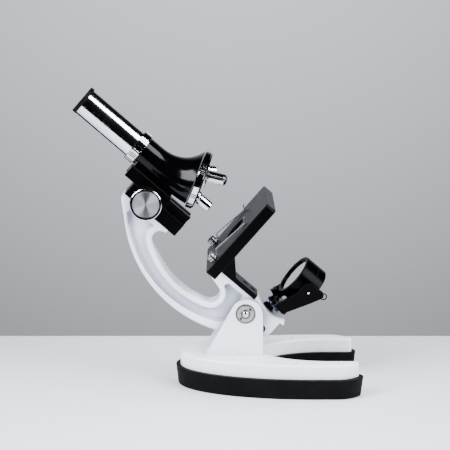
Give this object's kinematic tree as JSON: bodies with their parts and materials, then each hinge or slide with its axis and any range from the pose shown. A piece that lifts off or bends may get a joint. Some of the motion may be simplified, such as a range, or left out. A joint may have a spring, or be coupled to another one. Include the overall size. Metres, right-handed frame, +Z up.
{
  "type": "student microscope",
  "caption": "Compact student microscope: U-shaped base, tilting C-shaped arm, rack focus, revolving nosepiece, stage with spring clips and a swivelling mirror and lamp unit.",
  "frame": {"origin": "on the table, in the mid-plane, straight under the arm's hinge", "axes": "+Z up; +X towards the open end of the base, where the stage and mirror are; +Y along the hinge, from the nut to the bolt's head"},
  "size_m": [0.198, 0.081, 0.2082],
  "materials": {
    "white_paint": "smooth satin-gloss white stove enamel",
    "boot_rubber": "matte moulded rubber",
    "steel": "bright zinc-plated, lightly brushed",
    "nylon": "natural nylon, matte",
    "brass": "machined",
    "satin_black": "satin black moulding",
    "gloss_black": "high-gloss black",
    "chrome": "bright polished chrome plating",
    "spun_aluminium": "spun finish with concentric turning marks",
    "clip_steel": "satin spring steel",
    "lens": "polished, coated",
    "mirror": "silvered glass",
    "blue_plastic": "translucent blue",
    "lamp_glass": "clear bulb",
    "window_plastic": "frosted diffuser"
  },
  "bodies": {
    "base": {"base_casting": "white_paint", "rubber_boot": "boot_rubber", "hinge_bolt": "steel", "hinge_nut": "steel", "friction_washers": "nylon"},
    "arm": {"arm_casting": "white_paint", "focus_housing": "satin_black", "housing_screws": "steel", "pinion_bushes": "brass", "stage": "satin_black", "stage_screws": "steel", "clip_screws": "chrome", "mirror_post": "satin_black"},
    "clip_near": {"stage_clip_near": "clip_steel"},
    "clip_far": {"stage_clip_far": "clip_steel"},
    "focus_shaft": {"pinion_shaft": "steel", "pinion_gear": "brass", "focus_knob_near": "gloss_black", "focus_knob_far": "gloss_black", "knob_face_near": "spun_aluminium", "knob_face_far": "spun_aluminium", "knob_bezels": "chrome"},
    "carriage": {"focus_slide": "satin_black", "focus_rack": "brass", "slide_screws": "steel", "nosepiece_body": "gloss_black", "tube_collar": "chrome", "body_tube": "chrome", "light_baffle": "satin_black", "turret_pivot": "steel", "turret_spring": "steel"},
    "eyepiece": {"eyepiece_barrel": "gloss_black", "eyepiece_cap": "gloss_black", "eye_lens": "lens", "field_lens": "lens"},
    "turret": {"turret_ring": "chrome", "turret_plate": "gloss_black", "objective_mounts": "gloss_black", "objective_low": "chrome", "objective_mid": "chrome", "objective_high": "chrome", "objective_tips": "chrome", "objective_lenses": "lens"},
    "mirror_yoke": {"swivel_washer": "blue_plastic", "mirror_fork": "gloss_black", "fork_clip": "clip_steel", "trunnion_screws": "steel"},
    "mirror_drum": {"drum_shell": "gloss_black", "drum_base": "gloss_black", "mirror_glass": "mirror", "lamp_carrier": "satin_black", "lamp": "lamp_glass", "button_cells": "steel", "lamp_window": "window_plastic"}
  },
  "joints": [
    {"name": "arm_tilt", "type": "hinge", "parent": "base", "child": "arm", "pos_m": [0, 0, 0.0535], "axis": [0, 1, 0], "range_deg": [-20, 49]},
    {"name": "focus_travel", "type": "slide", "parent": "arm", "child": "carriage", "axis": [-0.7547, 0, 0.6561], "range_m": [-0.02, 0.01]},
    {"name": "focus_knob_spin", "type": "hinge", "parent": "arm", "child": "focus_shaft", "pos_m": [-0.06726, 0, 0.13251], "axis": [0, 1, 0], "range_deg": [-170, 330]},
    {"name": "turret_spin", "type": "hinge", "parent": "carriage", "child": "turret", "pos_m": [-0.05962, 0, 0.15594], "axis": [0.9336, 0, -0.3584], "continuous": true},
    {"name": "eyepiece_lift", "type": "slide", "parent": "carriage", "child": "eyepiece", "axis": [-0.7547, 0, 0.6561], "range_m": [0, 0.022]},
    {"name": "clip_near_swivel", "type": "hinge", "parent": "arm", "child": "clip_near", "pos_m": [-0.02097, -0.025, 0.09492], "axis": [-0.7547, 0, 0.6561], "range_deg": [-100, 20]},
    {"name": "clip_far_swivel", "type": "hinge", "parent": "arm", "child": "clip_far", "pos_m": [-0.02097, 0.025, 0.09492], "axis": [-0.7547, 0, 0.6561], "range_deg": [-20, 100]},
    {"name": "yoke_swivel", "type": "hinge", "parent": "arm", "child": "mirror_yoke", "pos_m": [0.01587, 0, 0.05468], "axis": [0.8477, 0, 0.5304], "range_deg": [-60, 55]},
    {"name": "drum_tilt", "type": "hinge", "parent": "mirror_yoke", "child": "mirror_drum", "pos_m": [0.04201, 0, 0.07104], "axis": [-0.0407, 0.9971, 0.065], "continuous": true}
  ],
  "couplings": [
    {"joint": "focus_knob_spin", "follows": "focus_travel", "rad_per_m": -285.71}
  ]
}
